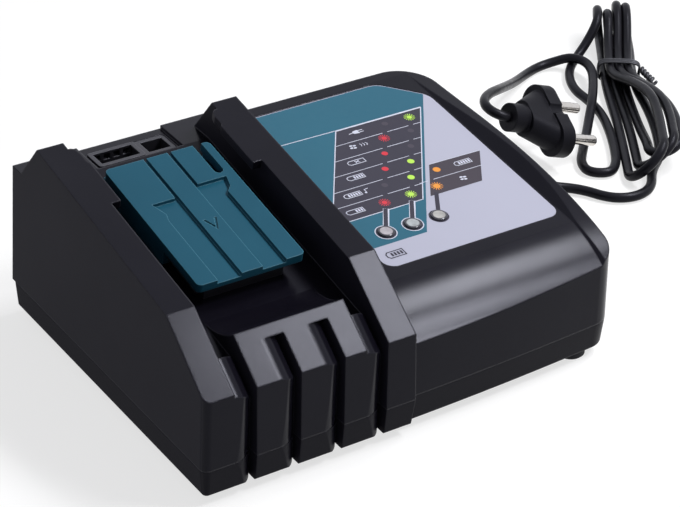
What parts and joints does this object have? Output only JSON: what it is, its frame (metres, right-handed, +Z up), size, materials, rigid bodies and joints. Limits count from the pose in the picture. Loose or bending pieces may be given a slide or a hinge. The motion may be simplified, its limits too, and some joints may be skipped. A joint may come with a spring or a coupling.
{
  "type": "power tool battery charger",
  "caption": "Desktop charger for slide-on tool batteries: guide walls with lips over a ribbed bay, sliding terminal cover, sloping indicator label with lamps, cooling fan and corded mains plug.",
  "frame": {"origin": "middle of the footprint on the surface that the charger stands on", "axes": "+X runs along the front from the battery bay to the indicator side, -Y is the front with the ribs, +Z is up"},
  "size_m": [0.3768, 0.2328, 0.0845],
  "materials": {
    "housing_plastic": "fine spark texture, satin",
    "tray_plastic": "fine spark texture, satin",
    "foot_rubber": "soft, matt",
    "zinc_steel": "zinc plated",
    "label_film": "printed polycarbonate film",
    "red_lens": "clear red",
    "green_lens": "clear green",
    "amber_lens": "clear amber",
    "circuit_board": "solder mask",
    "led_resin": "clear epoxy",
    "component_black": "moulded",
    "cover_plastic": "fine spark texture, satin",
    "terminal_plastic": "glass filled, satin",
    "terminal_brass": "tin flash",
    "spring_steel": "drawn wire",
    "guard_plastic": "satin",
    "fan_plastic": "glass filled, satin",
    "copper_winding": "enamelled copper",
    "ferrite": "ground ferrite",
    "winding_tape": "polyester tape",
    "heat_sink_aluminium": "extruded",
    "capacitor_sleeve": "shrink sleeve",
    "connector_white": "moulded",
    "wire_insulation": "silicone sleeve",
    "cord_pvc": "soft PVC, satin",
    "tie_plastic": "plastic over wire",
    "plug_pvc": "soft PVC, satin",
    "nickel_pins": "nickel plated"
  },
  "bodies": {
    "charger": {"upper_housing": "housing_plastic", "lower_housing": "tray_plastic", "rubber_feet": "foot_rubber", "housing_screws": "zinc_steel", "indicator_label": "label_film", "red_lamp_lens": "red_lens", "green_lamp_lens": "green_lens", "amber_lamp_lens": "amber_lens", "indicator_board": "circuit_board", "indicator_leds": "led_resin", "buzzer": "component_black", "terminal_block": "terminal_plastic", "power_terminals": "terminal_brass", "signal_contacts": "terminal_brass", "cover_spring": "spring_steel", "air_guard": "guard_plastic", "fan_frame": "fan_plastic", "fan_motor": "copper_winding", "fan_duct": "guard_plastic", "main_board": "circuit_board", "board_screws": "zinc_steel", "transformer_core": "ferrite", "transformer_winding": "winding_tape", "heat_sinks": "heat_sink_aluminium", "power_transistors": "component_black", "capacitors": "capacitor_sleeve", "line_choke": "copper_winding", "fuse_holder": "connector_white", "mains_connector": "connector_white", "output_connector": "connector_white", "terminal_leads": "wire_insulation", "inner_mains_lead": "wire_insulation", "cord_strain_relief": "cord_pvc", "power_cord": "cord_pvc", "cord_hank": "cord_pvc", "cord_tie": "tie_plastic", "plug_lead": "cord_pvc", "plug_body": "plug_pvc", "plug_pins": "nickel_pins"},
    "cover": {"terminal_cover": "cover_plastic"},
    "fan": {"fan_impeller": "fan_plastic"}
  },
  "joints": [
    {"name": "cover_slide", "type": "slide", "parent": "charger", "child": "cover", "axis": [0, -0.9839, -0.1788], "range_m": [0, 0.02], "stiffness_N_per_m": 60, "springref_m": -0.01, "deforming": ["cover_spring"]},
    {"name": "fan_spin", "type": "hinge", "parent": "charger", "child": "fan", "pos_m": [-0.047, 0.0495, 0.0342], "axis": [0, 1, 0], "continuous": true}
  ]
}
